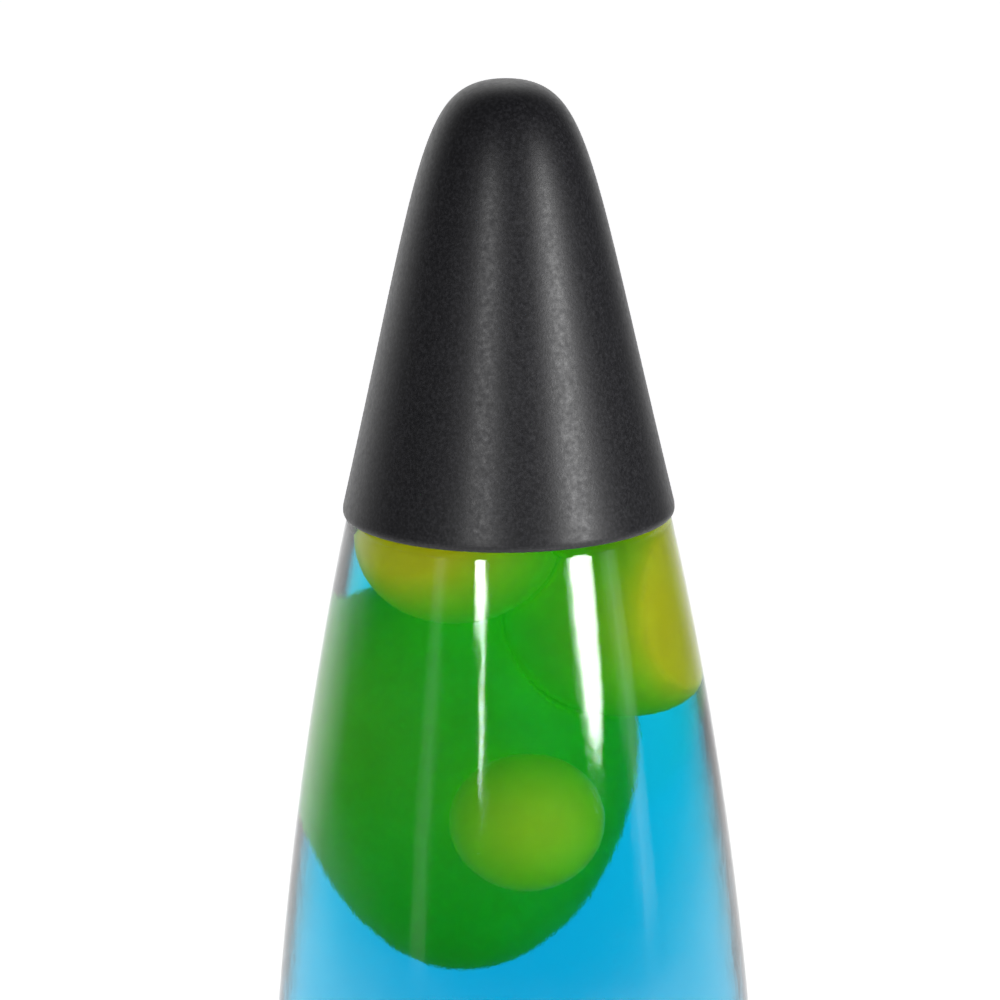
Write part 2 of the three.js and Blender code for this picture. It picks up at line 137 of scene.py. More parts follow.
def between(points, low, high):
    """The part of a rising curve between two heights."""
    def radius(z):
        for (r0, z0), (r1, z1) in zip(points, points[1:]):
            if z0 <= z <= z1:
                return r0 + (r1 - r0) * (z - z0) / max(z1 - z0, 1e-9)
        raise ValueError(f"height {z} is off the curve")
    inside = [p for p in points if low + 0.05 < p[1] < high - 0.05]
    return [(radius(low), low), *inside, (radius(high), high)]


# ---------- Meshes ----------
def make_object(name, vertices, faces, crease=35):
    mesh = bpy.data.meshes.new(name)
    mesh.from_pydata(vertices, [], faces)
    mesh.validate()
    for polygon in mesh.polygons:
        polygon.use_smooth = True
    mesh.set_sharp_from_angle(angle=math.radians(crease))
    piece = bpy.data.objects.new(name, mesh)
    bpy.context.scene.collection.objects.link(piece)
    return piece


def lathe(name, profile, closed=False, segments=SMALL_SEGMENTS, shape=None, crease=35):
    """A profile turned about Z. shape(angle, r, z) can change a point's radius and height."""
    vertices = []
    rows = []
    for r, z in profile:
        if r < 1e-6:
            rows.append([len(vertices)])
            vertices.append((0, 0, z * MM))
            continue
        rows.append(list(range(len(vertices), len(vertices) + segments)))
        for i in range(segments):
            angle = TAU * i / segments
            radius, height = shape(angle, r, z) if shape else (r, z)
            vertices.append((radius * MM * math.cos(angle), radius * MM * math.sin(angle), height * MM))
    pairs = list(zip(rows, rows[1:]))
    if closed:
        pairs.append((rows[-1], rows[0]))
    faces = []
    for low, high in pairs:
        for i in range(segments):
            j = (i + 1) % segments
            if len(low) == 1 and len(high) == 1:
                continue
            if len(low) == 1:
                faces.append((low[0], high[j], high[i]))
            elif len(high) == 1:
                faces.append((low[i], low[j], high[0]))
            else:
                faces.append((low[i], low[j], high[j], high[i]))
    return make_object(name, vertices, faces, crease)


def sweep(name, points, radius, sides=10, closed=False):
    """A round wire along points, in millimetres."""
    count = len(points)
    normal = Vector((0, 0, 1))
    vertices = []
    for i, p in enumerate(points):
        before = points[(i - 1) % count if closed else max(i - 1, 0)]
        after = points[(i + 1) % count if closed else min(i + 1, count - 1)]
        along = (Vector(after) - Vector(before)).normalized()
        normal = (normal - along * normal.dot(along)).normalized()
        side = along.cross(normal)
        for k in range(sides):
            angle = TAU * k / sides
            v = Vector(p) + (normal * math.cos(angle) + side * math.sin(angle)) * radius
            vertices.append(v * MM)
    faces = []
    for i in range(count if closed else count - 1):
        a, b = i * sides, ((i + 1) % count) * sides
        faces += [(a + k, a + (k + 1) % sides, b + (k + 1) % sides, b + k) for k in range(sides)]
    if not closed:
        faces.append(tuple(reversed(range(sides))))
        faces.append(tuple(range((count - 1) * sides, count * sides)))
    return make_object(name, vertices, faces)


def carve(piece, *cutters):
    """Cuts each cutter out of the piece, and deletes the cutters."""
    for cutter in cutters:
        cut = piece.modifiers.new("cut", "BOOLEAN")
        cut.operation = "DIFFERENCE"
        cut.solver = "EXACT"
        cut.object = cutter
    bpy.context.view_layer.update()
    evaluated = piece.evaluated_get(bpy.context.evaluated_depsgraph_get())
    mesh = bpy.data.meshes.new_from_object(evaluated)
    piece.modifiers.clear()
    piece.data = mesh
    for cutter in cutters:
        bpy.data.objects.remove(cutter)
    mesh.set_sharp_from_angle(angle=math.radians(35))


def box_cutter(size, place, turn=0.0):
    x, y, z = (s / 2 for s in size)
    corners = [(i * x, j * y, k * z) for i in (-1, 1) for j in (-1, 1) for k in (-1, 1)]
    turned = [Matrix.Rotation(turn, 4, "Z") @ Vector(c) + Vector(place) for c in corners]
    faces = [(0, 1, 3, 2), (4, 6, 7, 5), (0, 4, 5, 1), (2, 3, 7, 6), (0, 2, 6, 4), (1, 5, 7, 3)]
    return make_object("cutter", [v * MM for v in turned], faces)


def place_at(piece, place=(0, 0, 0), turn=None):
    """Moves the piece's vertices, so that its object stays at the origin."""
    matrix = Matrix.Translation(Vector(place) * MM)
    if turn:
        matrix = matrix @ turn
    piece.data.transform(matrix)
    return piece


def finished(piece, body, slot, look, *nodes):
    piece.data.materials.clear()
    piece.data.materials.append(look)
    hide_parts(*nodes)
    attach(piece, body)
    return piece


# ---------- Materials ----------
NOISE_ROUGHNESS = 0.55


class Look:
    """A material with one principled shader, and short ways to wire detail into it."""

    def __init__(self, name, color, roughness, metallic=0.0, **sockets):
        self.material = bpy.data.materials.new(name)
        self.material.use_nodes = True
        self.nodes = self.material.node_tree.nodes
        self.links = self.material.node_tree.links
        self.shader = self.nodes["Principled BSDF"]
        self.set("Base Color", (*color, 1))
        self.set("Roughness", roughness)
        self.set("Metallic", metallic)
        for socket, value in sockets.items():
            self.set(socket.replace("_", " "), value)
        self.place = self.nodes.new("ShaderNodeTexCoord").outputs["Object"]

    def set(self, socket, value):
        self.shader.inputs[socket].default_value = value

    def noise(self, scale, detail=3.0, stretch=None):
        texture = self.nodes.new("ShaderNodeTexNoise")
        texture.inputs["Scale"].default_value = scale
        texture.inputs["Detail"].default_value = detail
        texture.inputs["Roughness"].default_value = NOISE_ROUGHNESS
        self.links.new(self.mapped(stretch), texture.inputs["Vector"])
        return texture.outputs["Fac"]

    def mapped(self, stretch):
        if not stretch:
            return self.place
        mapping = self.nodes.new("ShaderNodeMapping")
        mapping.inputs["Scale"].default_value = stretch
        self.links.new(self.place, mapping.inputs["Vector"])
        return mapping.outputs["Vector"]

    def ramp(self, factor, stops, low=0.0, high=1.0):
        """A colour ramp from colours or greys, spread between two values of the factor."""
        node = self.nodes.new("ShaderNodeValToRGB")
        elements = node.color_ramp.elements
        while len(elements) < len(stops):
            elements.new(0.5)
        for i, stop in enumerate(stops):
            elements[i].position = low + (high - low) * i / (len(stops) - 1)
            elements[i].color = (*stop, 1) if isinstance(stop, tuple) else (stop, stop, stop, 1)
        self.links.new(factor, node.inputs["Fac"])
        return node.outputs["Color"]

    def color(self, factor, stops, low=0.35, high=0.65):
        self.links.new(self.ramp(factor, stops, low, high), self.shader.inputs["Base Color"])

    def roughness(self, factor, least, most):
        node = self.nodes.new("ShaderNodeMapRange")
        node.inputs["From Min"].default_value = 0.3
        node.inputs["From Max"].default_value = 0.7
        node.inputs["To Min"].default_value = least
        node.inputs["To Max"].default_value = most
        self.links.new(factor, node.inputs["Value"])
        self.links.new(node.outputs["Result"], self.shader.inputs["Roughness"])

    def bump(self, height, strength, depth=0.0001):
        node = self.nodes.new("ShaderNodeBump")
        node.inputs["Strength"].default_value = strength
        node.inputs["Distance"].default_value = depth
        self.links.new(height, node.inputs["Height"])
        if self.shader.inputs["Normal"].is_linked:
            self.links.new(self.shader.inputs["Normal"].links[0].from_socket, node.inputs["Normal"])
        self.links.new(node.outputs["Normal"], self.shader.inputs["Normal"])


def black_paint():
    """Satin powder coat: a fine even grain with brighter specks."""
    look = Look("satin_black_paint", (0.013, 0.013, 0.015), 0.38, Specular_IOR_Level=0.4)
    grain = look.noise(2600, 2.0)
    look.color(look.noise(1500, 2.0),
               [(0.009, 0.009, 0.0105), (0.014, 0.014, 0.016), (0.024, 0.024, 0.027)])
    look.roughness(look.noise(900, 3.0), 0.33, 0.45)
    look.bump(grain, 0.35, 0.00006)
    look.bump(look.noise(160, 2.0), 0.05, 0.0002)
    return look.material


def clear_glass():
    look = Look("bottle_glass", (1, 1, 1), 0.0, Transmission_Weight=1.0, IOR=1.5)
    look.bump(look.noise(60, 1.5, (1, 1, 0.55)), 1.0, 0.00012)
    look.bump(look.noise(420, 2.0, (1, 1, 0.5)), 1.0, 0.000017)
    look.bump(look.noise(2200, 2.0), 1.0, 0.000008)
    return look.material


def liquid():
    look = Look("blue_liquid", (1, 1, 1), 0.0, Transmission_Weight=1.0, IOR=1.33)
    look.set("Specular Tint", (0.05, 0.05, 0.05, 1))
    absorb = look.nodes.new("ShaderNodeVolumeAbsorption")
    absorb.inputs["Color"].default_value = (0.0, 0.922, 0.966, 1)
    absorb.inputs["Density"].default_value = 135.0
    output = look.nodes["Material Output"]
    look.links.new(absorb.outputs["Volume"], output.inputs["Volume"])
    look.bump(look.noise(30, 1.0), 0.03, 0.0003)
    return look.material


def wax():
    look = Look("yellow_wax", (0.74, 0.66, 0.02), 0.42, Subsurface_Weight=1.0, Subsurface_Scale=0.02)
    look.set("Subsurface Radius", (1.0, 0.9, 0.15))
    look.set("Specular IOR Level", 0.12)
    # Painted glow: a faint yellow emission makes the wax look evenly lit from within, as if by the bulb
    # below, though the bulb here gives no light.
    look.set("Emission Color", (0.85, 0.78, 0.01, 1))
    look.set("Emission Strength", 0.2)
    look.color(look.noise(55, 4.0), [(0.7, 0.61, 0.015), (0.74, 0.66, 0.02), (0.79, 0.71, 0.03)])
    look.roughness(look.noise(80, 3.0), 0.36, 0.5)
    look.bump(look.noise(120, 2.0), 0.06, 0.0004)
    return look.material


def metal(name, color, roughness, spread=0.08, lines=None, grain=900):
    """Bare metal with a drawn or rolled grain. lines stretches the grain along an axis."""
    look = Look(name, color, roughness, 1.0)
    fine = look.noise(grain, 3.0, lines)
    darker = tuple(c * 0.82 for c in color)
    brighter = tuple(min(c * 1.12, 1) for c in color)
    look.color(look.noise(70, 3.0), [darker, color, brighter])
    look.roughness(fine, roughness - spread, roughness + spread)
    look.bump(fine, 0.15, 0.00003)
    return look.material


def moulded(name, color, roughness, grain=700, depth=0.00004, **sockets):
    """Rubber or moulded plastic: a fine even texture with slight mottling."""
    look = Look(name, color, roughness, **sockets)
    darker = tuple(c * 0.8 for c in color)
    brighter = tuple(min(c * 1.25, 1) for c in color)
    look.color(look.noise(60, 4.0), [darker, color, brighter])
    look.roughness(look.noise(200, 3.0), roughness - 0.06, roughness + 0.06)
    look.bump(look.noise(grain, 2.0), 0.3, depth)
    return look.material


def bulb_glass():
    """A reflector bulb: mirror-coated up to its widest place, softly frosted above it."""
    _, high = node_mm("bulb_envelope")
    look = Look("bulb_glass", (0.93, 0.94, 0.93), 0.22, Transmission_Weight=1.0, IOR=1.5)
    heights = look.nodes.new("ShaderNodeSeparateXYZ")
    look.links.new(look.place, heights.inputs["Vector"])
    coat = look.nodes.new("ShaderNodeMapRange")
    coat.inputs["From Min"].default_value = (high.z - 20) * MM
    coat.inputs["From Max"].default_value = (high.z - 17) * MM
    coat.inputs["To Min"].default_value = 1.0
    coat.inputs["To Max"].default_value = 0.0
    look.links.new(heights.outputs["Z"], coat.inputs["Value"])
    look.links.new(coat.outputs["Result"], look.shader.inputs["Metallic"])
    look.roughness(look.noise(300, 3.0), 0.16, 0.3)
    look.bump(look.noise(500, 2.0), 0.08, 0.00003)
    return look.material


BLACK = black_paint()
GLASS = clear_glass()
LIQUID = liquid()
WAX = wax()
BULB_GLASS = bulb_glass()
STEEL = metal("bare_steel", (0.5, 0.51, 0.53), 0.34, lines=(1, 12, 1))
ZINC = metal("zinc_steel", (0.6, 0.61, 0.64), 0.3)
TIN = metal("closure_tin", (0.63, 0.64, 0.66), 0.24, lines=(1, 1, 10))
BRASS = metal("brass", (0.66, 0.45, 0.17), 0.28)
ALUMINIUM = metal("aluminium", (0.68, 0.69, 0.71), 0.3, lines=(1, 1, 12))
SOLDER = metal("solder", (0.5, 0.51, 0.52), 0.42)
WIRE = metal("bulb_wire", (0.36, 0.36, 0.38), 0.35)
RUBBER = moulded("black_rubber", (0.012, 0.012, 0.012), 0.8)
SILICONE = moulded("pale_silicone", (0.6, 0.58, 0.54), 0.55,
                   Subsurface_Weight=0.15, Subsurface_Scale=0.001)
PHENOLIC = moulded("phenolic", (0.02, 0.017, 0.014), 0.34)
CERAMIC = moulded("holder_ceramic", (0.76, 0.72, 0.64), 0.3, Coat_Weight=0.5, Coat_Roughness=0.12)
LINER = moulded("closure_liner", (0.7, 0.72, 0.71), 0.5)
BLACK_GLASS = moulded("black_glass", (0.008, 0.008, 0.011), 0.16, grain=300)


# ---------- Nose cap ----------
def cap_outline():
    low, high = node_mm("cap_shell")
    shoulder = 77.5
    handle = (CAP_RIM_R - CAP_TAPER * shoulder, low.z + shoulder)
    return bezier((CAP_RIM_R, low.z), handle, (17.6, high.z), (0, high.z), 90)


def make_cap():
    low, high = node_mm("cap_shell")
    lip = 1.5
    outside = between(cap_outline(), low.z + lip, high.z - 0.002)[:-1] + [(0, high.z)]
    inside = offset(cap_outline(), CAP_WALL)
    inside = between(inside, low.z + lip, high.z - CAP_WALL - 0.01)[:-1] + [(0, high.z - CAP_WALL)]
    outer_r, inner_r = outside[0][0], inside[0][0]
    turn = bezier((inner_r, low.z + lip), (inner_r, low.z - 0.35), (outer_r + 0.25, low.z - 0.35),
                  (outer_r, low.z + lip), 16)
    lowest = min(z for _, z in turn)
    turn = [(r, max(z, low.z) if z < lowest + 0.02 else z + low.z - lowest) for r, z in turn[1:-1]]
    profile = chain(list(reversed(inside)), turn, outside)
    finished(lathe("nose_cap", profile, segments=SEGMENTS), "cap", "black_metal", BLACK, "cap_shell")


# ---------- Bottle ----------
def bottle_outline():
    low, _ = node_mm("bottle_glass")
    cap_low, _ = node_mm("cap_shell")
    widest_r, widest_z = 52.6, low.z + 37
    rim = (BOTTLE_CAP_R + BOTTLE_TAPER * SHOULDER_DROP, cap_low.z - SHOULDER_DROP)
    punt = bezier((0, low.z + 3.5), (14, low.z + 3.5), (22, low.z), (33, low.z), 16)
    heel = bezier((36, low.z), (45, low.z), (widest_r, low.z + 18), (widest_r, widest_z), 28)
    flank = bezier((widest_r, widest_z), (widest_r, widest_z + 49.5),
                   (rim[0] + BOTTLE_TAPER * 57, rim[1] - 57), rim, 60)
    ease = bezier(rim, (rim[0] - BOTTLE_TAPER * 0.8, rim[1] + 0.8), (BOTTLE_CAP_R - 0.3, cap_low.z - 0.5),
                  (BOTTLE_CAP_R - 0.8, cap_low.z), 8)
    shoulder = bezier(ease[-1], (BOTTLE_CAP_R - 7, cap_low.z + 13), (NECK_R, cap_low.z + 27),
                      (NECK_R, cap_low.z + 45), 24)
    return punt, chain(heel, flank, ease, shoulder)


def make_bottle():
    _, high = node_mm("bottle_glass")
    punt, side = bottle_outline()
    outside = chain(punt, side)
    inside = offset(outside, BOTTLE_WALL)
    top = high.z
    finish = rounded([(NECK_R, top - 6), (NECK_R + 0.6, top - 5), (NECK_R + 0.6, top - 1),
                      (NECK_R - 1.2, top), (NECK_R - BOTTLE_WALL + 0.3, top),
                      (NECK_R - BOTTLE_WALL, top - 1.5)], 0.9, closed=False)
    profile = chain(outside, finish, list(reversed(inside)))
    piece = lathe("glass_bottle", profile, segments=SEGMENTS)
    finished(piece, "bottle", "bottle_glass", GLASS, "bottle_glass")


def make_liquid():
    punt, side = bottle_outline()
    wall = offset(chain(punt, side), BOTTLE_WALL - WALL_OVERLAP)
    floor, flank = wall[:len(punt)], wall[len(punt):]
    flank = [p for p in flank if p[1] < LIQUID_LEVEL - 1]
    edge = between(wall[len(punt):], LIQUID_LEVEL - 1, LIQUID_LEVEL + 0.6)
    meniscus = bezier(edge[-1], (edge[-1][0] - 1.2, LIQUID_LEVEL), (edge[-1][0] - 2.5, LIQUID_LEVEL),
                      (0, LIQUID_LEVEL), 14)
    profile = chain(floor, flank, edge, meniscus)
    finished(lathe("liquid", profile, segments=SEGMENTS), "bottle", "blue_liquid", LIQUID, "blue_liquid")


def make_closure():
    low, high = node_mm("crown_liner")
    liner = [(0, low.z), (high.x, low.z), (high.x, high.z), (0, high.z)]
    piece = lathe("closure_liner", rounded(liner, 0.3, closed=False))
    finished(piece, "bottle", "closure_liner", LINER, "crown_liner")

    low, high = node_mm("crown_closure")
    roof = high.z - 0.5
    under = rounded([(0, roof), (13.2, roof), (14.4, roof - 1.4), (15.4, low.z)], 1.2, closed=False)
    over = rounded([(15.75, low.z), (15, roof - 1), (13.6, high.z), (0, high.z)], 1.4, closed=False)

    def crimps(angle, r, z):
        depth = max(0.0, min(1.0, (roof - z) / 5.5))
        return r + 0.33 * depth * math.cos(CROWN_TEETH * angle), z

    piece = lathe("crown_closure_shell", chain(under, over), segments=CROWN_TEETH * 10, shape=crimps)
    finished(piece, "bottle", "closure_tin", TIN, "crown_closure")


# ---------- Wax ----------
# Each blob: half sizes, how much it narrows towards its top, how lumpy it is, and which blobs
# press into it.
BLOBS = {
    "wax_large": ((25.8, 25.3, 41.8), -0.08, 0.015, ("wax_left", "wax_right", "wax_small")),
    "wax_small": ((14.3, 12.5, 14.3), 0.0, 0.015, ()),
    "wax_left": ((19.2, 19, 19.3), 0.0, 0.015, ()),
    "wax_right": ((21.5, 20, 21.6), 0.06, 0.015, ("wax_left",)),
}
SOFTNESS = 45  # how tightly a blob folds where something presses into it


def blob_centre(node):
    low, high = node_mm(node)
    half = BLOBS[node][0]
    return np.array([low.x + half[0], low.y + half[1], low.z + half[2]])


def outside_blob(points, node):
    """Above zero where points are outside a blob."""
    half, taper, _, _ = BLOBS[node]
    p = (points - blob_centre(node)) / half
    width = 1 - taper * np.clip(p[:, 2], -1, 1)
    return np.sqrt((p[:, 0] / width) ** 2 + (p[:, 1] / width) ** 2 + p[:, 2] ** 2) - 1 - 0.35 / half[0]


def inside_wall(points):
    """Above zero where points are inside the bottle."""
    _, side = bottle_outline()
    wall = np.array(sorted(offset(side, BOTTLE_WALL + WALL_OFFSET), key=lambda p: p[1]))
    radius = np.interp(points[:, 2], wall[:, 1], wall[:, 0])
    return (radius - np.hypot(points[:, 0], points[:, 1])) / 20


def first_crossing(centre, rays, test):
    """How far along each ray, as a share of its length, the test first fails."""
    shares = np.linspace(0.2, 1.5, 66)
    values = np.array([test(centre + rays * share) for share in shares])
    failed = values < 0
    first = np.argmax(failed, axis=0)
    columns = np.arange(len(rays))
    after = values[first, columns]
    before = values[np.maximum(first - 1, 0), columns]
    step = shares[1] - shares[0]
    found = shares[first] - step * after / np.minimum(after - before, -1e-9)
    return np.where(failed.any(axis=0) & (first > 0), found, 3.0)


def make_blob(node, name, seed):
    """A smooth lump of wax that folds softly round its neighbours and along the glass."""
    half, taper, lumps, pressing = BLOBS[node]
    centre = blob_centre(node)
    bpy.ops.mesh.primitive_ico_sphere_add(subdivisions=6, radius=1.0, location=(0, 0, 0))
    piece = bpy.context.object
    piece.name = name
    piece.data.name = name
    shift = Vector((seed * 7.3, seed * 3.1, seed * 5.7))
    normals = np.array([v.co.normalized() for v in piece.data.vertices])
    swell = np.array([1 - lumps * (0.5 + 0.5 * noise.noise(Vector(n) * 1.1 + shift)) for n in normals])
    width = 1 - taper * normals[:, 2]
    rays = normals * half * swell[:, None]
    rays[:, :2] *= width[:, None]
    limits = [np.ones(len(rays)), first_crossing(centre, rays, inside_wall)]
    limits += [first_crossing(centre, rays, lambda p, other=other: outside_blob(p, other))
               for other in pressing]
    share = -np.log(sum(np.exp(-SOFTNESS * limit) for limit in limits)) / SOFTNESS
    points = (centre + rays * share[:, None]) * MM
    piece.data.vertices.foreach_set("co", points.ravel())
    piece.data.update()
    for polygon in piece.data.polygons:
        polygon.use_smooth = True
    finished(piece, node, "wax", WAX, node)


def make_wax():
    make_blob("wax_large", "wax_blob_large", 1)
    make_blob("wax_small", "wax_blob_small", 2)
    make_blob("wax_left", "wax_blob_left", 3)
    make_blob("wax_right", "wax_blob_right", 4)

    low, high = node_mm("wax_mound")
    punt, side = bottle_outline()
    floor = [p for p in offset(punt, BOTTLE_WALL + 0.15) if p[0] < high.x]
    slope = bezier((high.x, floor[-1][1]), (high.x - 2, low.z + 11), (15, high.z), (0, high.z), 24)

    def slump(angle, r, z):
        lift = (z - low.z) / (high.z - low.z)
        bulge = 1 + 0.05 * lift * noise.noise(Vector((math.cos(angle), math.sin(angle), z * 0.08)) * 1.3)
        return r * min(bulge, 1), z

    piece = lathe("wax_pool", chain(floor, slope), segments=96, shape=slump)
    finished(piece, "bottle", "wax", WAX, "wax_mound")


def make_coil():
    low, high = node_mm("wire_coil")
    ring_r = high.x - (high.z - low.z) / 2
    coil_r = (high.z - low.z) / 2 - COIL_WIRE_R
    middle = (low.z + high.z) / 2
    steps = COIL_TURNS * 14
    points = []
    for i in range(steps):
        around = TAU * i / steps
        twist = TAU * i / 14
        r = ring_r + coil_r * math.cos(twist)
        points.append((r * math.cos(around), r * math.sin(around), middle + coil_r * math.sin(twist)))
    piece = sweep("coil_of_wire", points, COIL_WIRE_R, 8, closed=True)
    finished(piece, "bottle", "bare_steel", STEEL, "wire_coil")


# ---------- Base ----------
def base_outline():
    low, high = node_mm("base_shell")
    foot_r = 50
    rim_r = high.x
    waist = (30.5, low.z + 53)
    skirt = [(foot_r, low.z + 1.4), (foot_r - 0.8, low.z + 13)]
    foot = bezier(skirt[1], (47, low.z + 25), (waist[0], low.z + 35), waist, 36)
    cup = bezier(waist, (waist[0], waist[1] + 15), (46, high.z - 21.5), (rim_r, high.z - 0.5), 36)
    return skirt, chain(skirt, foot, cup)


def make_base():
    low, high = node_mm("base_shell")
    _, outline = base_outline()
    outside = chain([(outline[0][0] - 1.4, low.z), (outline[0][0] - 0.4, low.z + 0.4)], outline)
    inside = offset(outline, SHEET)
    rim = rounded([outline[-1], (outline[-1][0] - 0.35, high.z), (inside[-1][0] + 0.3, high.z), inside[-1]],
                  0.45, closed=False)
    flange = rounded([inside[0], (inside[0][0] - 1.3, low.z + SHEET), (39, low.z + SHEET), (39, low.z)],
                     0.3, closed=False)
    profile = chain(outside, rim, list(reversed(inside)), flange)
    shell = lathe("base_body", profile, closed=True, segments=SEGMENTS)
    grommet_low, grommet_high = node_mm("cord_grommet")
    hole_z = (grommet_low.z + grommet_high.z) / 2
    outlet = lathe("cutter", [(0, -10), (4.6, -10), (4.6, 10), (0, 10)], segments=48)
    place_at(outlet, (0, grommet_high.y - 3, hole_z), Matrix.Rotation(math.pi / 2, 4, "X"))
    cutters = [outlet]
    for i in range(1, 4):
        screw_low, screw_high = node_mm(f"plate_screw_{i}")
        hole = lathe("cutter", [(0, -3), (2, -3), (2, 3), (0, 3)], segments=24)
        middle = (screw_low + screw_high) / 2
        cutters.append(place_at(hole, (middle.x, middle.y, low.z)))
    carve(shell, *cutters)
    finished(shell, "base", "black_metal", BLACK, "base_shell")


def make_seat_ring():
    low, high = node_mm("bottle_seat_ring")
    _, outline = base_outline()
    _, side = bottle_outline()
    outer = [(r - SHEET - 0.4, z) for r, z in between(outline, low.z, high.z)]
    inner = [(r + 0.4, z) for r, z in between(side, low.z, high.z)]
    corners = [outer[0], outer[-1], inner[-1], inner[0]]
    piece = lathe("seat_ring", rounded(corners, 0.5), closed=True, segments=SEGMENTS)
    finished(piece, "base", "silicone", SILICONE, "bottle_seat_ring")


def make_grommet():
    low, high = node_mm("cord_grommet")
    bore, groove = 3.2, 4.3
    wall_out, wall_in = high.y - 2, low.y + 1.8
    profile = [(bore, low.y), (6, low.y), (6, wall_in), (groove, wall_in), (groove, wall_out),
               (6.6, wall_out), (5.5, high.y), (bore, high.y)]
    piece = lathe("outlet_grommet", rounded(profile, 0.5), closed=True)
    place_at(piece, (0, 0, (low.z + high.z) / 2), Matrix.Rotation(-math.pi / 2, 4, "X"))
    finished(piece, "base", "rubber", RUBBER, "cord_grommet")


def make_feet():
    for i in range(1, 5):
        low, high = node_mm(f"rubber_foot_{i}")
        r = (high.x - low.x) / 2
        height = high.z - low.z
        profile = [(0, 0.25), (2.4, 0.25), (3.1, 0), (r - 0.7, 0), (r, 1), (r, height), (0, height)]
        piece = lathe(f"foot_{i}", rounded(profile, 0.4, closed=False))
        place_at(piece, ((low.x + high.x) / 2, (low.y + high.y) / 2, low.z))
        finished(piece, "base", "rubber", RUBBER, f"rubber_foot_{i}")


def make_screw(node, look, slot):
    """A pan-head screw, head down, with a cross recess."""
    low, high = node_mm(node)
    head_r = (high.x - low.x) / 2
    head = 1.6
    length = high.z - low.z
    shank = 1.5
    profile = bezier((0, 0), (head_r * 0.55, 0), (head_r, head * 0.2), (head_r, head * 0.8), 10)
    profile = chain(profile, [(head_r, head), (shank, head)])
    thread_turns = int((length - head - 0.8) / 0.6)
    for k in range(thread_turns):
        z = head + 0.5 + 0.6 * k
        profile += [(shank, z), (shank - 0.18, z + 0.3)]
    profile += [(shank, length - 0.3), (shank - 0.3, length), (0, length)]
    piece = lathe(f"{node}_turned", profile, segments=40)
    slot_length, slot_width, slot_height = head_r * 1.15, 0.55, 1.6
    carve(piece, box_cutter((slot_length, slot_width, slot_height), (0, 0, 0)),
          box_cutter((slot_width, slot_length, slot_height), (0, 0, 0)))
    place_at(piece, ((low.x + high.x) / 2, (low.y + high.y) / 2, low.z))
    finished(piece, "base", slot, look, node)


def dress(node, look, width=0.15):
    """A CAD piece whose shape is right keeps it, with its edges eased."""
    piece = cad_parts[node]
    piece.data.materials.clear()
    piece.data.materials.append(look)
    bevel = piece.modifiers.new("eased edges", "BEVEL")
    bevel.width = width * MM
    bevel.segments = 2
    bevel.limit_method = "ANGLE"
    bevel.angle_limit = math.radians(40)


def make_fasteners():
    for i in range(1, 4):
        make_screw(f"plate_screw_{i}", ZINC, "zinc_steel")
        dress(f"plate_nut_{i}", ZINC)
    for i in range(1, 3):
        make_screw(f"bracket_screw_{i}", ZINC, "zinc_steel")
        make_screw(f"terminal_screw_{i}", BRASS, "brass")
        dress(f"bracket_nut_{i}", ZINC)
    dress("nipple_nut", ZINC, 0.3)
    dress("base_plate", STEEL, 0.2)
    dress("holder_bracket", STEEL, 0.25)
    dress("contact_block", CERAMIC, 0.4)
    dress("centre_contact", BRASS, 0.08)


# ---------- Lamp holder ----------
def helix(pitch, depth, low, high):
    """A thread for lathe(): the radius waves once for each pitch of height and each turn."""
    def shape(angle, r, z):
        fade = max(0.0, min(1.0, (z - low) / 1.5, (high - z) / 1.5))
        return r + depth * fade * math.cos(TAU * z / pitch - angle), z
    return shape


def make_holder():
    low, high = node_mm("holder_dome")
    dome = [(5.2, low.z), (11.5, low.z), (13.6, low.z + 2.5), (13.6, high.z), (12.2, high.z),
            (12.2, low.z + 3.3), (10.9, low.z + 1.7), (5.2, low.z + 1.7)]
    piece = lathe("holder_cover", rounded(dome, 0.6), closed=True, segments=96)
    finished(piece, "base", "phenolic", PHENOLIC, "holder_dome")

    low, high = node_mm("holder_sleeve")
    sleeve = [(8.9, low.z), (13.6, low.z), (13.6, low.z + 10.2), (11.8, high.z), (8.9, high.z)]
    rows = rounded(sleeve, 0.6, closed=True)

    def ribs(angle, r, z):
        grip = 0.18 if r > 12.5 and z < low.z + 10 else 0.0
        return r - grip * (0.5 + 0.5 * math.cos(36 * angle)), z

    grip_rows = [(13.6, low.z + 1 + 0.9 * k) for k in range(1, 10)]
    first = next(i for i, (r, z) in enumerate(rows) if r > 13.5 and z > low.z + 0.5)
    rows[first + 1:first + 1] = grip_rows
    piece = lathe("holder_skirt", rows, closed=True, segments=288, shape=ribs)
    finished(piece, "base", "phenolic", PHENOLIC, "holder_sleeve")

    low, high = node_mm("thread_shell")
    steps = 90
    heights = [low.z + (high.z - low.z) * i / steps for i in range(steps + 1)]
    outer = [(7.95 + 0.15, z) for z in heights]
    inner = [(7.95 - 0.2, z) for z in heights]
    piece = lathe("threaded_shell", chain(outer, list(reversed(inner))), closed=True, segments=72,
                  shape=helix(THREAD_PITCH, 0.3, low.z, high.z))
    finished(piece, "base", "brass", BRASS, "thread_shell")

    low, high = node_mm("threaded_nipple")
    steps = 84
    heights = [low.z + (high.z - low.z) * i / steps for i in range(steps + 1)]
    outer = [(4.75, z) for z in heights]
    piece = lathe("nipple", chain(outer, [(3.4, high.z), (3.4, low.z)]), closed=True, segments=48,
                  shape=lambda a, r, z: helix(1.0, 0.12, low.z, high.z)(a, r, z) if r > 4 else (r, z))
    finished(piece, "base", "bare_steel", STEEL, "threaded_nipple")


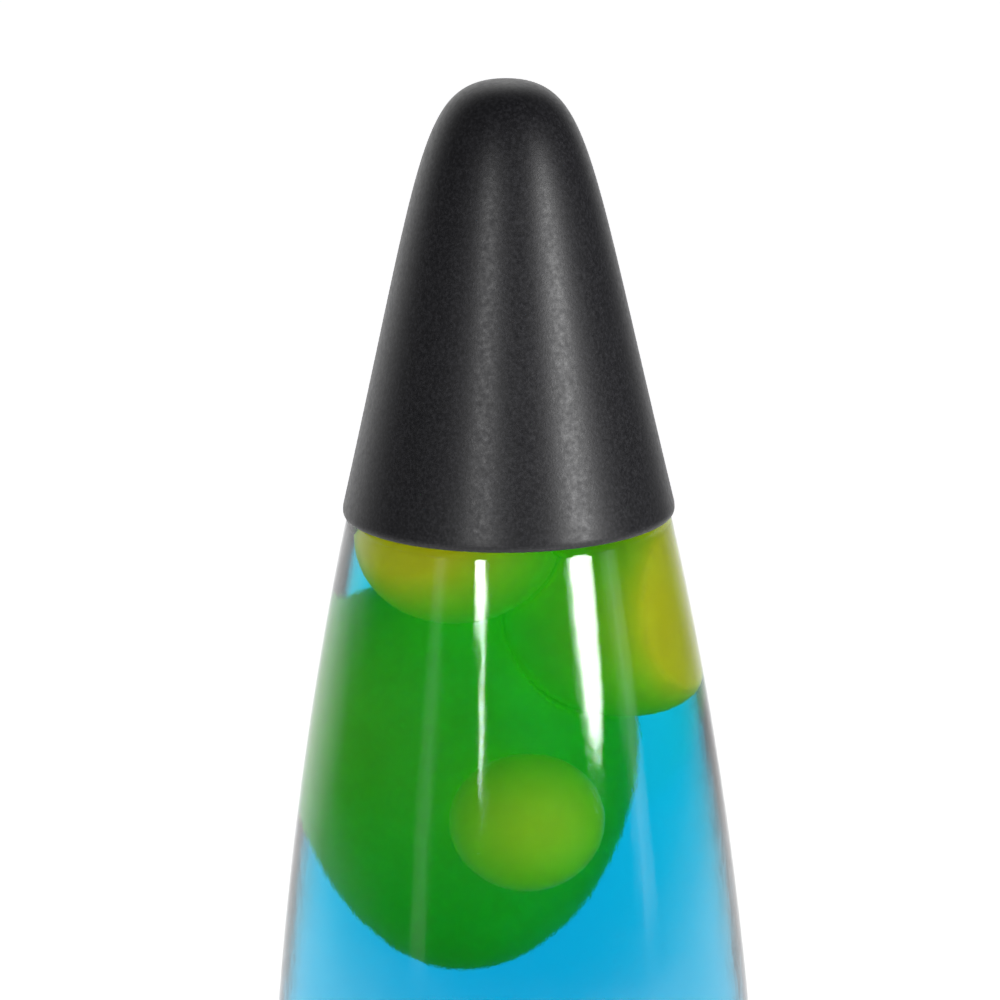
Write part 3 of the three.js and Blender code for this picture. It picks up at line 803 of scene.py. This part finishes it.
# ---------- Bulb ----------
def make_bulb():
    low, high = node_mm("bulb_contact")
    profile = chain([(0, low.z)], bezier((0, low.z), (1.5, low.z), (2.3, low.z + 0.3), (2.4, high.z), 8),
                    [(0, high.z)])
    finished(lathe("bulb_tip", profile), "bulb", "solder", SOLDER, "bulb_contact")
    tip = low.z

    low, high = node_mm("bulb_insulator")
    profile = rounded([(0, low.z), (2.9, low.z), (5.6, high.z), (0, high.z)], 0.5, closed=False)
    finished(lathe("bulb_base_glass", profile), "bulb", "black_glass", BLACK_GLASS, "bulb_insulator")

    low, high = node_mm("bulb_screw_cap")
    thread_top = tip + 5.3 + 4 * THREAD_PITCH
    steps = 72
    heights = [tip + 5.3 + (thread_top - tip - 5.3) * i / steps for i in range(steps + 1)]
    outer = chain([(5.8, low.z), (6.6, tip + 5.1)], [(6.75, z) for z in heights],
                  [(6.9, tip + 18.5), (7.35, high.z - 0.6), (7.5, high.z)])
    inner = [(r - 0.4, z) for r, z in outer]
    piece = lathe("bulb_cap", chain(outer, list(reversed(inner))), closed=True, segments=72,
                  shape=helix(THREAD_PITCH, 0.3, tip + 5.3, thread_top))
    finished(piece, "bulb", "aluminium", ALUMINIUM, "bulb_screw_cap")

    low, high = node_mm("bulb_envelope")
    r = high.x
    glass = chain([(5.7, low.z), (5.7, low.z + 9.6)],
                  bezier((5.7, low.z + 9.6), (9, low.z + 18), (r, low.z + 24), (r, low.z + 40), 32),
                  bezier((r, low.z + 40), (r, low.z + 47), (12, high.z), (0, high.z), 24))
    piece = lathe("bulb_bowl", chain(list(reversed(offset(glass, 0.9))), glass), segments=96)
    finished(piece, "bulb", "bulb_glass", BULB_GLASS, "bulb_envelope")

    low, high = node_mm("bulb_stem")
    stem = [(0, low.z), (3.4, low.z), (2.1, low.z + 8), (2.1, high.z - 1.4), (0, high.z)]
    piece = lathe("bulb_stem_glass", rounded(stem, 0.8, closed=False), segments=40)
    finished(piece, "bulb", "bulb_glass", BULB_GLASS, "bulb_stem")

    for i, side in ((1, -1), (2, 1)):
        low, high = node_mm(f"bulb_lead_{i}")
        points = bezier((side * 1.3, low.z + 0.1), (side * 3, low.z + 3), (side * 4.6, low.z + 6),
                        (side * 6.6, high.z - 0.2), 14)
        piece = sweep(f"lead_wire_{i}", [(x, 0, z) for x, z in points], 0.3)
        finished(piece, "bulb", "bulb_wire", WIRE, f"bulb_lead_{i}")

    low, high = node_mm("bulb_filament")
    turns, steps = 26, 26 * 8
    points = []
    for k in range(steps + 1):
        t = k / steps
        x = -6.3 + 12.6 * t
        z = low.z + 1.0 - 0.012 * x * x
        twist = TAU * turns * t
        points.append((x, 0.32 * math.cos(twist), z + 0.32 * math.sin(twist)))
    piece = sweep("coiled_filament", points, 0.07, 5)
    finished(piece, "bulb", "bulb_wire", WIRE, "bulb_filament")


# ---------- Floor, light and camera ----------
def facing_wall(nodes, links, place, start, end):
    """From 0 to 1 as a direction turns towards the white wall, behind the lamp and a little to its left."""
    angle = math.radians(WALL_TURN)
    level = nodes.new("ShaderNodeVectorMath")
    level.operation = "NORMALIZE"
    links.new(place, level.inputs[0])
    facing = nodes.new("ShaderNodeVectorMath")
    facing.operation = "DOT_PRODUCT"
    facing.inputs[1].default_value = (-math.sin(angle), math.cos(angle), 0)
    links.new(level.outputs["Vector"], facing.inputs[0])
    fade = nodes.new("ShaderNodeMapRange")
    fade.interpolation_type = "SMOOTHSTEP"
    fade.inputs["From Min"].default_value = start
    fade.inputs["From Max"].default_value = end
    links.new(facing.outputs["Value"], fade.inputs["Value"])
    return fade.outputs["Result"]


def make_stage():
    """A pale floor with painted light: its colour and glow are full near the lamp and towards the white
    wall, and fade to dark with distance, standing in for a dark room.
    """
    bpy.ops.mesh.primitive_plane_add(size=FLOOR_SIZE, location=(0, 0, -0.0002))
    floor = bpy.context.object
    floor.name = "floor"
    look = Look("pale_floor", (0.9, 0.9, 0.9), 0.7)
    look.set("Emission Color", (1, 1, 1, 1))
    away = look.nodes.new("ShaderNodeVectorMath")
    away.operation = "LENGTH"
    look.links.new(look.place, away.inputs[0])
    shares = look.nodes.new("ShaderNodeMath")
    shares.operation = "DIVIDE"
    shares.inputs[1].default_value = FLOOR_FADE
    look.links.new(away.outputs["Value"], shares.inputs[0])
    # Painted light and shade: the floor's colour and glow are full out to about 0.9 m and fade to almost
    # nothing by about 2.1 m, except towards the white wall, so the far floor is painted dark.
    painted_pool_of_light = look.ramp(shares.outputs["Value"], [1.0, 0.3, 0.03], 0.36, 0.84)
    painted_light = look.nodes.new("ShaderNodeMath")
    painted_light.operation = "MAXIMUM"
    look.links.new(painted_pool_of_light, painted_light.inputs[0])
    look.links.new(facing_wall(look.nodes, look.links, look.place, 0.45, 0.95), painted_light.inputs[1])
    for socket, dark, bright in (("Base Color", 0.0, 0.9), ("Emission Strength", 0.0, 0.8)):
        level = look.nodes.new("ShaderNodeMapRange")
        level.inputs["To Min"].default_value = dark
        level.inputs["To Max"].default_value = bright
        look.links.new(painted_light.outputs["Value"], level.inputs["Value"])
        look.links.new(level.outputs["Result"], look.shader.inputs[socket])
    floor.data.materials.append(look.material)


def make_world():
    """A white studio wall in an otherwise dark room."""
    world = bpy.data.worlds.new("studio")
    bpy.context.scene.world = world
    world.use_nodes = True
    nodes, links = world.node_tree.nodes, world.node_tree.links
    place = nodes.new("ShaderNodeTexCoord").outputs["Generated"]
    mix = nodes.new("ShaderNodeMix")
    mix.data_type = "RGBA"
    mix.inputs["A"].default_value = (0.05, 0.05, 0.055, 1)
    mix.inputs["B"].default_value = (1.2, 1.2, 1.2, 1)
    links.new(facing_wall(nodes, links, place, 0.35, 0.95), mix.inputs["Factor"])
    links.new(mix.outputs["Result"], nodes["Background"].inputs["Color"])


def make_strip(name, azimuth, low, high, width, radiance, shape="RECTANGLE"):
    """An upright softbox LIGHT_DISTANCE from the lamp. Azimuth is counted from the front, to the right."""
    light = bpy.data.lights.new(name, "AREA")
    light.shape = shape
    light.size, light.size_y = width, high - low
    light.energy = math.pi * width * (high - low) * radiance * (math.pi / 4 if shape == "ELLIPSE" else 1)
    strip = bpy.data.objects.new(name, light)
    bpy.context.scene.collection.objects.link(strip)
    angle = math.radians(azimuth)
    outward = Vector((math.sin(angle), -math.cos(angle), 0))
    strip.location = outward * LIGHT_DISTANCE + Vector((0, 0, (low + high) / 2))
    strip.rotation_euler = (-outward).to_track_quat("-Z", "Y").to_euler()


def make_lights():
    make_strip("left_low", -17.0, 0.28, 0.47, 0.03, 28)
    make_strip("left_high", -19.5, 0.47, 0.95, 0.15, 25)
    make_strip("right_low", 50, 0.27, 0.76, 0.42, 22, "ELLIPSE")
    make_strip("right_high", 52, 0.76, 1.0, 0.26, 16)
    make_strip("left_fill", -48.6, 0.05, 0.9, 0.2, 0.4)
    make_strip("right_fill", 74, 0.05, 0.9, 0.22, 0.8)


def make_camera():
    elevation, distance, width = math.radians(14.6), 1.4, 0.2067
    aim = Vector((-0.0018, 0, 0.3092))
    data = bpy.data.cameras.new("camera")
    data.sensor_width = 36
    data.lens = data.sensor_width * distance / width
    camera = bpy.data.objects.new("camera", data)
    bpy.context.scene.collection.objects.link(camera)
    camera.location = aim + Vector((0, -math.cos(elevation), math.sin(elevation))) * distance
    level = (aim - camera.location).to_track_quat("-Z", "Y").to_matrix().to_4x4()
    camera.rotation_euler = (level @ Matrix.Rotation(math.radians(-0.55), 4, "Z")).to_euler()
    bpy.context.scene.camera = camera


make_camera()
make_cap()
make_bottle()
make_liquid()
make_closure()
make_wax()
make_coil()
make_base()
make_seat_ring()
make_grommet()
make_feet()
make_fasteners()
make_holder()
make_bulb()
make_stage()
make_world()
make_lights()
bpy.context.scene.view_settings.view_transform = "Standard"
